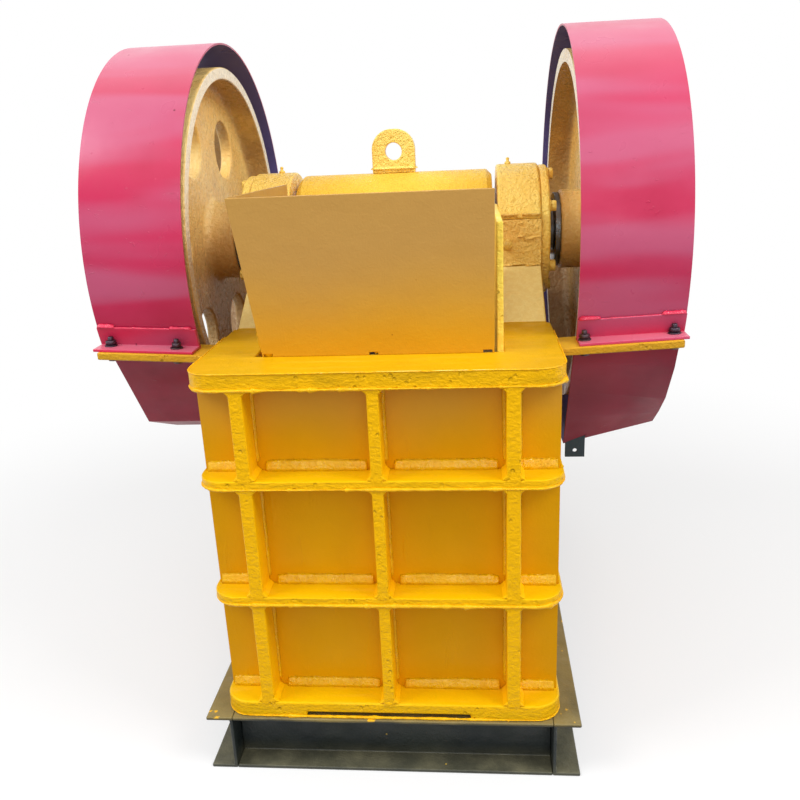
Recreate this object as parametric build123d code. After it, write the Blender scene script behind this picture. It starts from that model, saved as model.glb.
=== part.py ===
import os
from math import cos, sin, radians
from build123d import *

os.makedirs("parts", exist_ok=True)

# All lengths in millimetres. Inside this file y runs back from the front face
# of the wall ribs and z runs up from the foot of the body; the last step moves
# everything so that the floor is z = 0 and the overall length is centred.

# Base of rolled channels
base_height = 133.0
base_half_width = 402.0
base_front_reach = 8.0
channel_flange_width = 58.0
channel_web = 7.0
channel_flange = 8.0
cross_rear_inset = 90.0

# Body box
body_half_width = 361.0
wing_half_width = 355.0
body_length = 1200.0
corner_radius = 55.0
base_overhang = 92.0
rear_rim_width = 80.0
rib_depth = 62.0
front_wall_thickness = 25.0
side_wall_inner = 248.0
side_wall_outer = 275.0
rear_wall_thickness = 25.0
rear_rib_depth = 40.0

# Heights of the horizontal plates of the body
foot_thickness = 37.0
low_rib_bottom = 275.0
low_rib_top = 294.0
high_rib_bottom = 533.0
high_rib_top = 552.0
top_flange_bottom = 737.0
top_flange_top = 772.0
foot_inner_half_width = 238.0
foot_front_inner = 100.0
foot_rear_inner = body_length - rear_rim_width
foot_relief_left = 179.0
foot_relief_right = 171.0
foot_relief_height = 12.0
foot_relief_depth = 45.0

# Vertical ribs of the front wall
centre_rib_thickness = 23.0
rib_gusset = 10.0

# Top flange, its side strips and the bearing seats
top_front_inner = 126.0
slope_foot_front = 369.0
seat_front = 527.0
seat_rear = 855.0
seat_top = 874.0
slope_foot_rear = 1013.0
slope_outer = 352.0
top_rear_inner = body_length - rear_rim_width

# Side posts below the bearing seats
post_thickness = 22.0
post_front = 545.0
post_rear = 815.0
post_reach = 60.0

# Shaft line
axis_back = 691.0
axis_height = 937.0
eccentric_throw = 10.0
journal_radius = 45.0
eccentric_radius = 88.0
eccentric_half_length = 235.0
shaft_end = 602.0
running_gap = 0.3

# Bearing housings
housing_inner = 251.0
housing_outer = 352.0
housing_radius = 164.0
housing_split = 44.0
housing_foot_lip = 12.0
housing_lip_height = 18.0
cover_thickness = 22.0
cover_radius = 159.0
spacer_start = 374.0
spacer_end = 406.0
spacer_radius = 91.0
spacer_rim = 14.0
sleeve_radius = 50.0

# Wheels
wheel_radius = 420.0
wheel_rim = 29.0
wheel_inner = 413.0
wheel_outer = 568.0
wheel_web_inset = 65.0
wheel_web = 32.0
hub_radius = 97.0
hub_outer = 586.0
wheel_hole_radius = 72.0
wheel_hole_circle = 268.0
wheel_hole_count = 6
wheel_hole_turn = 57
belt_groove_count = 4
belt_groove_width = 24.0
belt_groove_floor = 14.0
belt_groove_depth = 20.0
belt_groove_pitch = 30.0

# Swing jaw
barrel_radius = 164.0
barrel_half_length = 240.0
barrel_chamfer = 13.0
pitman_half_width = 190.0
jaw_top_back = 462.0
jaw_top_height = 800.0
jaw_foot_back = 262.0
jaw_foot_height = 70.0
jaw_bottom_depth = 75.0
toggle_groove_back = 402.0
toggle_groove_low = 130.0
toggle_groove_high = 250.0
pitman_neck_back = 600.0
pitman_neck_height = 690.0
pitman_shoulder_back = 800.0
pitman_shoulder_height = 812.0

# Lifting lug on the barrel
lug_offset = 2.0
lug_width = 107.0
lug_thickness = 30.0
lug_hole_height = 1142.0
lug_hole_radius = 21.0
lug_corner_share = 0.46
lug_root_height = 1060.0

# Jaw plates and cheek plates
jaw_plate_half_width = 196.0
jaw_plate_thickness = 34.0
jaw_tooth_height = 16.0
jaw_tooth_count = 8
fixed_plate_bottom = 60.0
fixed_plate_top = 730.0
moving_plate_length = 700.0
moving_plate_start = 18.0
cheek_inner = 204.0
cheek_front = 140.0
cheek_bottom = 90.0
cheek_low_back = 250.0
cheek_high_back = 455.0

# Feed hopper
hopper_sheet = 8.0
hopper_foot_back = 125.0
hopper_top_back = 108.0
hopper_top = 1084.0
hopper_foot_left = 231.0
hopper_foot_right = 230.0
hopper_top_left = 270.0
hopper_top_right = 232.0
hopper_side_back = 474.0
hopper_side_top_left = 240.0
hopper_notch_width = 18.0
hopper_notch_height = 6.0
hopper_notch_left = 228.0
hopper_notch_middle = 16.0
hopper_notch_right = 208.0
post_plate_inner = 235.0
post_plate_thickness = 13.0
post_plate_top = 1022.0
post_plate_front = 126.0
post_plate_rear = 500.0

# Guards over the wheels
guard_radius = 473.0
guard_sheet = 4.0
guard_inner = 403.0
guard_width = 217.0
guard_outer = guard_inner + guard_width
guard_end_dip = 7.0
guard_end_height = top_flange_top - guard_end_dip
low_guard_bend_back = 425.0
low_guard_bend_drop = 236.0
low_guard_bend_height = guard_end_height - low_guard_bend_drop
low_guard_floor_back = 600.0
low_guard_floor_drop = 309.0
low_guard_floor_height = guard_end_height - low_guard_floor_drop
right_bend_inner_back = 450.0
right_bend_inner_drop = 316.0
right_bend_inner_height = guard_end_height - right_bend_inner_drop
right_high_outer_back = 301.0
right_high_outer_drop = 85.0
right_high_outer_height = guard_end_height - right_high_outer_drop
right_middle_outer_back = 364.0
right_middle_outer_drop = 174.0
right_middle_outer_height = guard_end_height - right_middle_outer_drop
right_low_outer_back = 420.0
right_low_outer_drop = 225.0
right_low_outer_height = guard_end_height - right_low_outer_drop
right_bend_outer_back = 479.0
right_bend_outer_drop = 271.0
right_bend_outer_height = guard_end_height - right_bend_outer_drop
right_floor_inner_back = 620.0
right_floor_inner_drop = 325.0
right_floor_inner_height = guard_end_height - right_floor_inner_drop
right_floor_outer_back = 600.0
right_floor_outer_drop = 303.0
right_floor_outer_height = guard_end_height - right_floor_outer_drop

# Angles welded to the guards and the supports below them
guard_angle_leg = 46.0
guard_angle_sheet = 6.0
guard_angle_front = 196.0
support_depth = 96.0
support_thickness = 16.0
support_front = 190.0
support_tip = 10.0
support_end = guard_outer - support_tip
support_dip = 8.0
support_rise = 13.0
support_top_inner = guard_end_height - support_dip
support_top_outer = support_top_inner + support_rise

# Small bracket below the right guard
bracket_inner = 408.0
bracket_outer = 455.0
bracket_back = 449.0
bracket_sheet = 6.0
bracket_drop = 35.0
bracket_low = right_bend_inner_height - bracket_drop
bracket_top_drop = 2.0
bracket_high = right_bend_inner_height - bracket_top_drop
bracket_hole_drop = 18.0
bracket_hole_height = right_bend_inner_height - bracket_hole_drop
bracket_hole = 5.0

# Toggle, tension rod and spring
toggle_half_width = 150.0
toggle_thickness = 36.0
toggle_front = 424.0
toggle_front_height = 190.0
toggle_rear_height = 232.0
toggle_block_depth = 260.0
toggle_block_low = 176.0
toggle_block_high = 290.0
toggle_block_half_width = 180.0
toggle_groove_depth = 16.0
rod_radius = 14.0
rod_height = 96.0
rod_front = 421.0
rod_hole_gap = 3.0
spring_radius = 42.0
spring_wire = 6.0
spring_turns = 6
spring_pitch = 17.0
rod_plate = 12.0
rod_plate_radius = 56.0
rod_nut_radius = 24.0
rod_nut_length = 22.0
rod_tail = 24.0

# Placing of the finished machine
rear_reach = (body_length + spring_turns * spring_pitch + spring_wire * 2
              + rod_plate + rod_nut_length + rod_tail)
centre_back = (rear_reach - base_front_reach) / 2


# General helpers

def block(x_low, x_high, y_low, y_high, z_low, z_high):
    size = Box(x_high - x_low, y_high - y_low, z_high - z_low, align=Align.MIN)
    return Pos(x_low, y_low, z_low) * size


def profile_x(points, x_low, x_high):
    face = make_face(Polyline(*points, close=True))
    section = Plane(origin=(x_low, 0, 0), x_dir=(0, 1, 0), z_dir=(1, 0, 0)) * face
    return extrude(section, x_high - x_low)


def profile_y(points, y_low, y_high):
    face = make_face(Polyline(*points, close=True))
    section = Plane(origin=(0, y_high, 0), x_dir=(1, 0, 0), z_dir=(0, -1, 0)) * face
    return extrude(section, y_high - y_low)


def rod_x(radius, x_low, x_high, y, z):
    disc = Cylinder(radius, x_high - x_low, align=(Align.CENTER, Align.CENTER, Align.MIN))
    return Pos(x_low, y, z) * Rot(0, 90, 0) * disc


def rod_y(radius, y_low, y_high, x, z):
    disc = Cylinder(radius, y_high - y_low, align=(Align.CENTER, Align.CENTER, Align.MIN))
    return Pos(x, y_low, z) * Rot(-90, 0, 0) * disc


def both_sides(shape):
    return [shape, mirror(shape, about=Plane.YZ)]


def front_and_rear(shapes):
    plane = Plane(origin=(0, axis_back, 0), z_dir=(0, 1, 0))
    return list(shapes) + [mirror(shape, about=plane) for shape in shapes]


def save(shapes, name):
    pieces = shapes if isinstance(shapes, list) else [shapes]
    place = Pos(0, -centre_back, base_height)
    moved = [place * piece for piece in pieces]
    whole = moved[0] if len(moved) == 1 else Compound(children=moved)
    export_step(whole, "parts/" + name + ".step")


# Base channels

def side_channel():
    web_inner = base_half_width - channel_flange_width
    front = -base_front_reach
    back = body_length + base_overhang
    outer = block(web_inner, base_half_width, front, back, -base_height, 0)
    pocket = block(web_inner + channel_web, base_half_width, front, back,
                   -base_height + channel_flange, -channel_flange)
    return outer - pocket


def cross_channel():
    half = base_half_width - channel_flange_width
    front = -base_front_reach
    back = front + channel_flange_width
    outer = block(-half, half, front, back, -base_height, 0)
    pocket = block(-half, half, front, back - channel_web,
                   -base_height + channel_flange, -channel_flange)
    return outer - pocket


def rear_cross_channel():
    middle = (body_length + base_overhang - base_front_reach) / 2
    turn = Plane(origin=(0, middle, 0), z_dir=(0, 1, 0))
    return Pos(0, -cross_rear_inset, 0) * mirror(cross_channel(), about=turn)


# Horizontal plates of the body

def ring_outline(z_low, z_high):
    plate = block(-body_half_width, body_half_width, 0, body_length, z_low, z_high)
    uprights = plate.edges().filter_by(Axis.Z)
    return fillet(uprights, corner_radius)


def wing_pockets(z_low, z_high):
    side = block(side_wall_outer, wing_half_width, rib_depth, rib_depth + front_wall_thickness,
                 z_low, z_high)
    return both_sides(side)


def rib_ring(z_low, z_high):
    ring = ring_outline(z_low, z_high)
    rear_face = body_length - rear_rib_depth
    ring -= block(-side_wall_outer, side_wall_outer, rib_depth, rear_face, z_low, z_high)
    for pocket in wing_pockets(z_low, z_high):
        ring -= pocket
    return ring


def foot_ring():
    ring = ring_outline(0, foot_thickness)
    ring -= block(-foot_inner_half_width, foot_inner_half_width, foot_front_inner,
                  foot_rear_inner, 0, foot_thickness)
    ring -= block(-foot_relief_left, foot_relief_right, 0, foot_relief_depth,
                  0, foot_relief_height)
    return ring


def seat_profile():
    drop = top_flange_top - top_flange_bottom
    line = [(slope_foot_front, top_flange_top), (seat_front, seat_top),
            (seat_rear, seat_top), (slope_foot_rear, top_flange_top)]
    lower = [(y, z - drop) for y, z in reversed(line)]
    return line + lower


def top_flange():
    plate = ring_outline(top_flange_bottom, top_flange_top)
    plate -= block(-side_wall_inner, side_wall_inner, top_front_inner, top_rear_inner,
                   top_flange_bottom, top_flange_top)
    gap = block(side_wall_inner, body_half_width, slope_foot_front, slope_foot_rear,
                top_flange_bottom, top_flange_top)
    saddle = profile_x(seat_profile(), side_wall_inner, slope_outer)
    for part in both_sides(gap):
        plate -= part
    for part in both_sides(saddle):
        plate += part
    return plate


# Upright plates of the body

def side_wall():
    drop = top_flange_top - top_flange_bottom
    rear = body_length - rear_rib_depth
    outline = [(rib_depth, foot_thickness), (rear, foot_thickness), (rear, top_flange_bottom),
               (slope_foot_rear, top_flange_bottom), (seat_rear, seat_top - drop),
               (seat_front, seat_top - drop), (slope_foot_front, top_flange_bottom),
               (rib_depth, top_flange_bottom)]
    return profile_x(outline, side_wall_inner, side_wall_outer)


def front_wall():
    back = rib_depth + front_wall_thickness
    middle = block(-side_wall_inner, side_wall_inner, rib_depth, back,
                   foot_thickness, top_flange_bottom)
    wing = block(side_wall_outer, wing_half_width, rib_depth, back,
                 foot_thickness, top_flange_bottom)
    return [middle] + both_sides(wing)


def rear_wall():
    back = body_length - rear_rib_depth
    wall = block(-side_wall_inner, side_wall_inner, back - rear_wall_thickness, back,
                 foot_thickness, top_flange_bottom)
    return wall - rod_y(rod_radius + rod_hole_gap, 0, body_length, 0, rod_height)


def rib_rows():
    return [(foot_thickness, low_rib_bottom), (low_rib_top, high_rib_bottom),
            (high_rib_top, top_flange_bottom)]


def upright_rib(x_low, x_high, z_low, z_high):
    outline = [(x_low - rib_gusset, z_low), (x_high + rib_gusset, z_low),
               (x_high, z_low + rib_gusset), (x_high, z_high - rib_gusset),
               (x_high + rib_gusset, z_high), (x_low - rib_gusset, z_high),
               (x_low, z_high - rib_gusset), (x_low, z_low + rib_gusset)]
    return profile_y(outline, 0, rib_depth)


def front_uprights():
    pieces = []
    half = centre_rib_thickness / 2
    for z_low, z_high in rib_rows():
        pieces.append(upright_rib(-half, half, z_low, z_high))
        pieces.append(upright_rib(side_wall_inner, side_wall_outer, z_low, z_high))
        pieces.append(upright_rib(-side_wall_outer, -side_wall_inner, z_low, z_high))
    return pieces


def seat_posts():
    reach = side_wall_outer + post_reach
    tops = [low_rib_bottom, high_rib_bottom, seat_top - top_flange_top + top_flange_bottom]
    feet = [foot_thickness, low_rib_top, high_rib_top]
    pieces = []
    for z_low, z_high in zip(feet, tops):
        edge = reach if z_high < top_flange_bottom else slope_outer
        for y_low in (post_front, post_rear):
            piece = block(side_wall_outer, edge, y_low, y_low + post_thickness, z_low, z_high)
            pieces += both_sides(piece)
    return pieces


# Bearing housings

def housing_block():
    low = block(housing_inner, housing_outer, axis_back - housing_radius,
                axis_back + housing_radius, seat_top, axis_height + housing_split)
    bore = rod_x(journal_radius + running_gap, housing_inner, housing_outer,
                 axis_back, axis_height)
    return low - bore


def housing_cap():
    split = axis_height + housing_split
    drum = rod_x(housing_radius, housing_inner, housing_outer, axis_back, axis_height)
    lip = block(housing_inner, housing_outer, axis_back - housing_radius,
                axis_back + housing_radius, split, split + housing_lip_height)
    below = block(housing_inner, housing_outer, axis_back - housing_radius * 2,
                  axis_back + housing_radius * 2, axis_height - housing_radius * 2, split)
    bore = rod_x(journal_radius + running_gap, housing_inner, housing_outer,
                 axis_back, axis_height)
    return (drum + lip) - below - bore


def housing_cover():
    disc = rod_x(cover_radius, housing_outer, housing_outer + cover_thickness,
                 axis_back, axis_height)
    bore = rod_x(journal_radius + running_gap, housing_outer, housing_outer + cover_thickness,
                 axis_back, axis_height)
    return disc - bore


# Rotating parts

def eccentric_shaft():
    shaft = rod_x(journal_radius, -shaft_end, shaft_end, axis_back, axis_height)
    throw = rod_x(eccentric_radius, -eccentric_half_length, eccentric_half_length,
                  axis_back, axis_height - eccentric_throw)
    return shaft + throw


def spacer_ring():
    sleeve = rod_x(sleeve_radius, spacer_start, spacer_end, axis_back, axis_height)
    rim = rod_x(spacer_radius, spacer_end - spacer_rim, spacer_end, axis_back, axis_height)
    return sleeve + rim - rod_x(journal_radius, spacer_start, spacer_end, axis_back, axis_height)


def rim_ring():
    rim = rod_x(wheel_radius, wheel_inner, wheel_outer, axis_back, axis_height)
    return rim - rod_x(wheel_radius - wheel_rim, wheel_inner, wheel_outer,
                       axis_back, axis_height)


def wheel_disc():
    web_start = wheel_inner + wheel_web_inset
    web = rod_x(wheel_radius - wheel_rim, web_start, web_start + wheel_web,
                axis_back, axis_height)
    hub = rod_x(hub_radius, spacer_end, hub_outer, axis_back, axis_height)
    bore = rod_x(journal_radius, spacer_end, hub_outer, axis_back, axis_height)
    return web + hub - bore


def flywheel_disc():
    disc = wheel_disc()
    step = 360 / wheel_hole_count
    for turn in range(wheel_hole_count):
        angle = radians(step * turn + wheel_hole_turn)
        y = axis_back + wheel_hole_circle * cos(angle)
        z = axis_height + wheel_hole_circle * sin(angle)
        disc -= rod_x(wheel_hole_radius, wheel_inner, wheel_outer, y, z)
    return mirror(disc, about=Plane.YZ)


def sheave_rim():
    rim = rim_ring()
    middle = (wheel_inner + wheel_outer) / 2
    first = middle - belt_groove_pitch * (belt_groove_count - 1) / 2
    for index in range(belt_groove_count):
        centre = first + belt_groove_pitch * index
        top = wheel_radius + running_gap
        low = wheel_radius - belt_groove_depth
        points = [(centre - belt_groove_width / 2, top), (centre + belt_groove_width / 2, top),
                  (centre + belt_groove_floor / 2, low), (centre - belt_groove_floor / 2, low)]
        face = Plane.XZ * make_face(Polyline(*points, close=True))
        groove = revolve(face, Axis.X)
        rim -= Pos(0, axis_back, axis_height) * groove
    return rim


# Swing jaw

def jaw_slope():
    run = jaw_top_back - jaw_foot_back
    rise = jaw_top_height - jaw_foot_height
    length = (run * run + rise * rise) ** 0.5
    return run / length, rise / length


def pitman():
    low = axis_height - eccentric_throw
    outline = [(axis_back, low), (axis_back - barrel_radius, low),
               (jaw_top_back, jaw_top_height), (jaw_foot_back, jaw_foot_height),
               (jaw_foot_back + jaw_bottom_depth, jaw_foot_height),
               (toggle_groove_back, toggle_groove_low), (toggle_groove_back, toggle_groove_high),
               (pitman_neck_back, pitman_neck_height),
               (pitman_shoulder_back, pitman_shoulder_height)]
    body = profile_x(outline, -pitman_half_width, pitman_half_width)
    barrel = rod_x(barrel_radius, -barrel_half_length, barrel_half_length, axis_back, low)
    barrel = chamfer(barrel.edges().filter_by(GeomType.CIRCLE), barrel_chamfer)
    bore = rod_x(eccentric_radius + running_gap, -barrel_half_length, barrel_half_length,
                 axis_back, low)
    return body + barrel - bore


def lifting_lug():
    half = lug_width / 2
    top = lug_hole_height + half
    plate = block(-lug_offset - half, -lug_offset + half, axis_back - lug_thickness / 2,
                  axis_back + lug_thickness / 2, lug_root_height, top)
    upper = [edge for edge in plate.edges().filter_by(Axis.Y)
             if edge.center().Z > lug_hole_height]
    plate = fillet(upper, lug_width * lug_corner_share)
    plate -= rod_y(lug_hole_radius, axis_back - lug_thickness, axis_back + lug_thickness,
                   -lug_offset, lug_hole_height)
    plate -= rod_x(barrel_radius, -barrel_half_length, barrel_half_length,
                   axis_back, axis_height - eccentric_throw)
    return plate


def toothed_plate(length):
    step = jaw_plate_half_width * 2 / jaw_tooth_count
    points = [(jaw_plate_half_width, 0), (-jaw_plate_half_width, 0)]
    for tooth in range(jaw_tooth_count):
        left = -jaw_plate_half_width + step * tooth
        points.append((left, jaw_plate_thickness))
        points.append((left + step / 4, jaw_plate_thickness + jaw_tooth_height))
        points.append((left + step / 2, jaw_plate_thickness + jaw_tooth_height))
        points.append((left + step * 3 / 4, jaw_plate_thickness))
    points.append((jaw_plate_half_width, jaw_plate_thickness))
    face = make_face(Polyline(*points, close=True))
    return extrude(face, length)


def fixed_jaw_plate():
    plate = toothed_plate(fixed_plate_top - fixed_plate_bottom)
    return Pos(0, rib_depth + front_wall_thickness, fixed_plate_bottom) * plate


def moving_jaw_plate():
    along_y, along_z = jaw_slope()
    start_y = jaw_foot_back + along_y * moving_plate_start
    start_z = jaw_foot_height + along_z * moving_plate_start
    seat = Plane(origin=(0, start_y, start_z), x_dir=(-1, 0, 0),
                 z_dir=(0, along_y, along_z))
    return seat * toothed_plate(moving_plate_length)


def cheek_plate():
    outline = [(cheek_front, cheek_bottom), (cheek_low_back, cheek_bottom),
               (cheek_high_back, top_flange_bottom), (cheek_front, top_flange_bottom)]
    return profile_x(outline, cheek_inner, side_wall_inner)


# Feed hopper

def hopper_front():
    outline = [(-hopper_foot_left, top_flange_top), (hopper_foot_right, top_flange_top),
               (hopper_top_right, hopper_top), (-hopper_top_left, hopper_top)]
    front = profile_y(outline, 0, hopper_foot_back + hopper_sheet)
    side = [(hopper_foot_back - hopper_sheet, top_flange_top),
            (hopper_foot_back, top_flange_top), (hopper_top_back, hopper_top),
            (hopper_top_back - hopper_sheet, hopper_top)]
    plate = front & profile_x(side, -hopper_top_left, hopper_top_right)
    for start in (-hopper_notch_left, -hopper_notch_middle, hopper_notch_right):
        plate -= block(start, start + hopper_notch_width, 0, hopper_foot_back,
                       top_flange_top, top_flange_top + hopper_notch_height)
    return plate


def hopper_left():
    sections = []
    inner = hopper_sheet - hopper_foot_left
    for y, top in ((hopper_foot_back, hopper_top_left), (hopper_side_back, hopper_side_top_left)):
        outline = [(-hopper_foot_left, top_flange_top), (inner, top_flange_top),
                   (hopper_sheet - top, hopper_top), (-top, hopper_top)]
        face = make_face(Polyline(*outline, close=True))
        sections.append(Plane(origin=(0, y, 0), x_dir=(1, 0, 0), z_dir=(0, -1, 0)) * face)
    sheet = loft(sections, ruled=True)
    reach = hopper_foot_back * 2
    corner = profile_x([(hopper_foot_back, top_flange_top), (hopper_top_back, hopper_top),
                        (hopper_top_back - reach, hopper_top),
                        (hopper_top_back - reach, top_flange_top)],
                       -hopper_top_left, inner)
    return sheet - corner


def post_plate():
    return block(post_plate_inner, post_plate_inner + post_plate_thickness,
                 post_plate_front, post_plate_rear, top_flange_bottom, post_plate_top)


# Guards

def support_top(x):
    rise = (support_top_outer - support_top_inner) / (guard_outer - body_half_width)
    return support_top_inner + rise * (x - body_half_width)


def support_band(x_low, x_high, low, high, y_low, y_high):
    outline = [(x_low, support_top(x_low) + low), (x_high, support_top(x_high) + low),
               (x_high, support_top(x_high) + high), (x_low, support_top(x_low) + high)]
    return profile_y(outline, y_low, y_high)


def drum_section(radius, x_low, x_high):
    drum = rod_x(radius, x_low, x_high, axis_back, axis_height)
    return drum - rod_x(radius - guard_sheet, x_low, x_high, axis_back, axis_height)


def upper_guard():
    band = drum_section(guard_radius, guard_inner, guard_outer)
    below = support_band(guard_inner, guard_outer, -guard_radius, 0,
                         axis_back - guard_radius, axis_back + guard_radius)
    return band - below


def guard_end_back():
    drop = axis_height - guard_end_height
    return axis_back - (guard_radius * guard_radius - drop * drop) ** 0.5


def trough_points(half_line):
    mirrored = [(axis_back * 2 - y, z) for y, z in reversed(half_line)]
    outer = half_line + mirrored
    share = 1 - guard_sheet / guard_radius
    inner = [(axis_back + (y - axis_back) * share, axis_height + (z - axis_height) * share)
             for y, z in outer]
    return outer + inner[::-1]


def trough_start():
    return guard_end_back() + guard_sheet, guard_end_height + support_thickness


def below_supports(shell):
    return shell - support_band(guard_inner, guard_outer, -support_thickness, guard_radius,
                                axis_back - guard_radius, axis_back + guard_radius)


def lower_guard_left():
    line = [trough_start(), (low_guard_bend_back, low_guard_bend_height),
            (low_guard_floor_back, low_guard_floor_height)]
    shell = profile_x(trough_points(line), guard_inner, guard_outer)
    return mirror(below_supports(shell), about=Plane.YZ)


def evenly(start, end, count):
    shares = [index / (count - 1) for index in range(count)]
    return [(start[0] + (end[0] - start[0]) * share, start[1] + (end[1] - start[1]) * share)
            for share in shares]


def lower_guard_right():
    bend = (right_bend_inner_back, right_bend_inner_height)
    outer = [trough_start(), (right_high_outer_back, right_high_outer_height),
             (right_middle_outer_back, right_middle_outer_height),
             (right_low_outer_back, right_low_outer_height),
             (right_bend_outer_back, right_bend_outer_height),
             (right_floor_outer_back, right_floor_outer_height)]
    inner = evenly(trough_start(), bend, len(outer) - 1)
    inner.append((right_floor_inner_back, right_floor_inner_height))
    sections = []
    for x, line in ((guard_inner, inner), (guard_outer, outer)):
        face = make_face(Polyline(*trough_points(line), close=True))
        sections.append(Plane(origin=(x, 0, 0), x_dir=(0, 1, 0), z_dir=(1, 0, 0)) * face)
    return below_supports(loft(sections, ruled=True))


def guard_angle():
    back = guard_end_back() + guard_sheet
    leg = support_band(guard_inner, guard_outer, 0, guard_angle_sheet, guard_angle_front, back)
    upright = support_band(guard_inner, guard_outer, 0, guard_angle_leg,
                           guard_angle_front, axis_back)
    skin = rod_x(guard_radius + guard_angle_sheet, guard_inner, guard_outer,
                 axis_back, axis_height)
    drum = rod_x(guard_radius, guard_inner, guard_outer, axis_back, axis_height)
    return leg + (upright & skin) - drum


def guard_support():
    return support_band(body_half_width, support_end, -support_thickness, 0,
                        support_front, support_front + support_depth)


def guard_bracket():
    plate = block(bracket_inner, bracket_outer, bracket_back, bracket_back + bracket_sheet,
                  bracket_low, bracket_high + bracket_sheet * 4)
    hole_x = (bracket_inner + bracket_outer) / 2
    plate -= rod_y(bracket_hole, 0, body_length, hole_x, bracket_hole_height)
    pieces = (plate - lower_guard_right()).solids().sort_by(Axis.Z)
    return pieces[0]


# Toggle and tension parts

def toggle_block():
    front = body_length - rear_rib_depth - rear_wall_thickness - toggle_block_depth
    body = block(-toggle_block_half_width, toggle_block_half_width, front,
                 front + toggle_block_depth, toggle_block_low, toggle_block_high)
    half = toggle_thickness / 2
    groove = block(-toggle_block_half_width, toggle_block_half_width, front,
                   front + toggle_groove_depth, toggle_rear_height - half,
                   toggle_rear_height + half)
    return body - groove


def toggle_plate():
    rear = (body_length - rear_rib_depth - rear_wall_thickness - toggle_block_depth
            + toggle_groove_depth)
    half = toggle_thickness / 2
    start = rear - toggle_groove_depth * 2
    outline = [(toggle_front, toggle_front_height - half), (start, toggle_rear_height - half),
               (rear, toggle_rear_height - half), (rear, toggle_rear_height + half),
               (start, toggle_rear_height + half), (toggle_front, toggle_front_height + half)]
    return profile_x(outline, -toggle_half_width, toggle_half_width)


def tension_rod():
    spring_end = body_length + spring_turns * spring_pitch + spring_wire * 2
    rod = rod_y(rod_radius, rod_front, rear_reach, 0, rod_height)
    plate = rod_y(rod_plate_radius, spring_end, spring_end + rod_plate, 0, rod_height)
    hexagon = RegularPolygon(rod_nut_radius, 6)
    nut = extrude(hexagon, rod_nut_length)
    return rod + plate + Pos(0, spring_end + rod_plate, rod_height) * Rot(-90, 0, 0) * nut


def spring_plate():
    back = body_length - rear_rib_depth
    plate = rod_y(rod_plate_radius, back, body_length, 0, rod_height)
    return plate - rod_y(rod_radius + rod_hole_gap, back, body_length, 0, rod_height)


def tension_spring():
    path = Helix(spring_pitch, spring_pitch * spring_turns, spring_radius)
    start = path @ 0
    section = Plane(origin=start, z_dir=path % 0) * Circle(spring_wire)
    coil = sweep(section, path=path)
    return Pos(0, body_length + spring_wire, rod_height) * Rot(-90, 0, 0) * coil


# Saving, one file per named part

save(both_sides(side_channel()), "base_side_channels")
save([cross_channel(), rear_cross_channel()], "base_cross_channels")
save(foot_ring(), "foot_flange")
save(rib_ring(low_rib_bottom, low_rib_top), "lower_rib_ring")
save(rib_ring(high_rib_bottom, high_rib_top), "upper_rib_ring")
save(top_flange(), "top_flange")
save(both_sides(side_wall()), "side_walls")
save(front_wall(), "front_wall")
save(front_uprights(), "front_uprights")
save(rear_wall(), "rear_wall")
save(seat_posts(), "seat_posts")
save(both_sides(housing_block()), "bearing_blocks")
save(both_sides(housing_cap()), "bearing_caps")
save(both_sides(housing_cover()), "bearing_covers")
save(eccentric_shaft(), "eccentric_shaft")
save(both_sides(spacer_ring()), "spacer_rings")
save(mirror(rim_ring(), about=Plane.YZ), "flywheel_rim")
save(flywheel_disc(), "flywheel_disc")
save(sheave_rim(), "sheave_rim")
save(wheel_disc(), "sheave_disc")
save(pitman(), "pitman")
save(lifting_lug(), "lifting_lug")
save(fixed_jaw_plate(), "fixed_jaw_plate")
save(moving_jaw_plate(), "moving_jaw_plate")
save(both_sides(cheek_plate()), "cheek_plates")
save(hopper_front(), "hopper_front_plate")
save(hopper_left(), "hopper_side_sheet")
save(post_plate(), "mouth_side_plate")
save(mirror(upper_guard(), about=Plane.YZ), "left_upper_guard")
save(upper_guard(), "right_upper_guard")
save(lower_guard_left(), "left_lower_guard")
save(lower_guard_right(), "right_lower_guard")
save(front_and_rear(both_sides(guard_angle())), "guard_angles")
save(front_and_rear(both_sides(guard_support())), "guard_supports")
save(guard_bracket(), "guard_bracket")
save(toggle_block(), "toggle_block")
save(toggle_plate(), "toggle_plate")
save(spring_plate(), "spring_plate")
save(tension_rod(), "tension_rod")
save(tension_spring(), "tension_spring")
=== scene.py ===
import math
import random

import bmesh
import bpy
from mathutils import Matrix, Vector


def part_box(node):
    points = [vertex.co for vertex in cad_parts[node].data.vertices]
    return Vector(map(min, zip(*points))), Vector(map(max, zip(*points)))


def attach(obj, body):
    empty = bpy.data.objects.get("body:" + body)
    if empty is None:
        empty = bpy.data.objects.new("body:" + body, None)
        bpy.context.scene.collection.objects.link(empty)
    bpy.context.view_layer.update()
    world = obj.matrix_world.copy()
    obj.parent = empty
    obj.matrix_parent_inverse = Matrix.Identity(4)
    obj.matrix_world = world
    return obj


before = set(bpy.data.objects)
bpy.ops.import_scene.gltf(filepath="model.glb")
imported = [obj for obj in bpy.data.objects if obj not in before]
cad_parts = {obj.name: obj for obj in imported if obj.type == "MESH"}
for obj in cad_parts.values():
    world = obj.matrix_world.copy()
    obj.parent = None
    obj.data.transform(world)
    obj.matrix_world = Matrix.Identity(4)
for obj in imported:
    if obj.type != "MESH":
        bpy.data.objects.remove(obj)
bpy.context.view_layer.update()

chance = random.Random(7)

# The body's own measures in millimetres: x across, y back from the rib fronts, z up from the
# body's foot

rib_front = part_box("foot_flange")[0].y
body_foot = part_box("foot_flange")[0].z

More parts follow.
